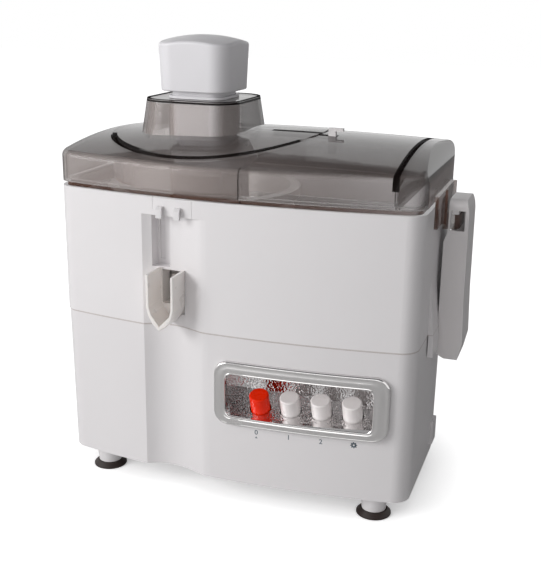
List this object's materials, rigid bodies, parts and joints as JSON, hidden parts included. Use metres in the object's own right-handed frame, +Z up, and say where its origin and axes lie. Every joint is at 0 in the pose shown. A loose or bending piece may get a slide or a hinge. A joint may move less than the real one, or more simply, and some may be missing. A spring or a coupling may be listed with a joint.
{
  "type": "centrifugal juicer",
  "caption": "Countertop centrifugal juicer: motor base with push buttons, juice housing with front spout, smoke lid with square feed tower and pusher, and side clamps.",
  "frame": {"origin": "middle of the footprint box on the table plane, under the suction cups", "axes": "+Z up, -Y towards the user (spout and buttons), +X to the user's right"},
  "size_m": [0.3038, 0.1982, 0.323],
  "materials": {
    "white_gloss": "smooth gloss",
    "white_base": "smooth gloss",
    "white_pusher": "smooth gloss",
    "white_button": "satin gloss",
    "red_button": "satin gloss",
    "cup_rubber": "matt",
    "chromed_panel": "pebbled bright",
    "smoke_lid": "clear smoke gloss",
    "pale_tab": "gloss",
    "pale_grey": "smooth gloss",
    "steel": "fine brushed",
    "white_hub": "matt",
    "core_steel": "dull laminated",
    "copper_wire": "varnished wire",
    "copper_bars": "turned",
    "bracket_metal": "cast",
    "dark_moulding": "matt",
    "board_green": "satin",
    "black_nylon": "matt",
    "seal_rubber": "matt",
    "gland_rubber": "matt"
  },
  "bodies": {
    "base": {"base_shell": "white_base", "base_plate": "white_base", "suction_cup_front_right": "cup_rubber", "suction_cup_front_left": "cup_rubber", "suction_cup_back_right": "cup_rubber", "suction_cup_back_left": "cup_rubber", "cover_screws": "steel", "control_bezel": "chromed_panel", "switch_block": "dark_moulding", "drip_seal": "seal_rubber", "cord_gland": "gland_rubber", "stator_core": "core_steel", "field_coil_front": "copper_wire", "field_coil_back": "copper_wire", "motor_bracket_low": "bracket_metal", "motor_bracket_high": "bracket_metal", "bearing_low": "steel", "bearing_high": "steel", "brush_left": "dark_moulding", "brush_right": "dark_moulding", "control_board": "board_green", "overload_breaker": "dark_moulding"},
    "rotor": {"rotor_shaft": "steel", "armature_core": "core_steel", "armature_winding_high": "copper_wire", "armature_winding_low": "copper_wire", "commutator": "copper_bars", "cooling_fan": "black_nylon", "drive_coupling": "black_nylon"},
    "head": {"housing_shell": "white_gloss", "hook_plate": "white_gloss", "spout": "white_gloss", "juice_bowl": "pale_grey", "clamp_pin_right": "steel", "clamp_pin_left": "steel"},
    "spinner": {"basket_hub": "white_hub", "strainer_basket": "steel", "grater_disc": "steel"},
    "clamp_right": {"clamp_right": "white_gloss"},
    "clamp_left": {"clamp_left": "white_gloss"},
    "lid": {"lid_cover": "smoke_lid"},
    "slider": {"slider_tab": "pale_tab"},
    "pusher": {"pusher_cap": "white_pusher", "pusher_stem": "white_pusher"},
    "button_stop": {"button_stop": "red_button"},
    "button_one": {"button_one": "white_button"},
    "button_two": {"button_two": "white_button"},
    "button_pulse": {"button_pulse": "white_button"}
  },
  "joints": [
    {"name": "rotor_spin", "type": "hinge", "parent": "base", "child": "rotor", "pos_m": [-0.0514, 0.0059, 0], "axis": [0, 0, 1], "continuous": true},
    {"name": "head_lift", "type": "slide", "parent": "base", "child": "head", "axis": [0, 0, 1], "range_m": [0, 0.06]},
    {"name": "spinner_spin", "type": "hinge", "parent": "head", "child": "spinner", "pos_m": [-0.0514, 0.0059, 0], "axis": [0, 0, 1], "continuous": true},
    {"name": "clamp_right_swing", "type": "hinge", "parent": "head", "child": "clamp_right", "pos_m": [0.1425, 0.0059, 0.1145], "axis": [0, 1, 0], "range_deg": [0, 75]},
    {"name": "clamp_left_swing", "type": "hinge", "parent": "head", "child": "clamp_left", "pos_m": [-0.1425, 0.0059, 0.1145], "axis": [0, -1, 0], "range_deg": [0, 75]},
    {"name": "lid_lift", "type": "slide", "parent": "head", "child": "lid", "axis": [0, 0, 1], "range_m": [0, 0.138]},
    {"name": "slider_slide", "type": "slide", "parent": "lid", "child": "slider", "axis": [-1, 0, 0], "range_m": [0, 0.038]},
    {"name": "pusher_lift", "type": "slide", "parent": "lid", "child": "pusher", "axis": [0, 0, 1], "range_m": [0, 0.115]},
    {"name": "button_stop_press", "type": "slide", "parent": "base", "child": "button_stop", "axis": [0, 0.342, -0.9397], "range_m": [0, 0.0035], "stiffness_N_per_m": 400},
    {"name": "button_one_press", "type": "slide", "parent": "base", "child": "button_one", "axis": [0, 0.342, -0.9397], "range_m": [0, 0.0035]},
    {"name": "button_two_press", "type": "slide", "parent": "base", "child": "button_two", "axis": [0, 0.342, -0.9397], "range_m": [0, 0.0035]},
    {"name": "button_pulse_press", "type": "slide", "parent": "base", "child": "button_pulse", "axis": [0, 0.342, -0.9397], "range_m": [0, 0.0035], "stiffness_N_per_m": 400}
  ],
  "couplings": [
    {"joint": "spinner_spin", "follows": "rotor_spin", "ratio": 1}
  ]
}
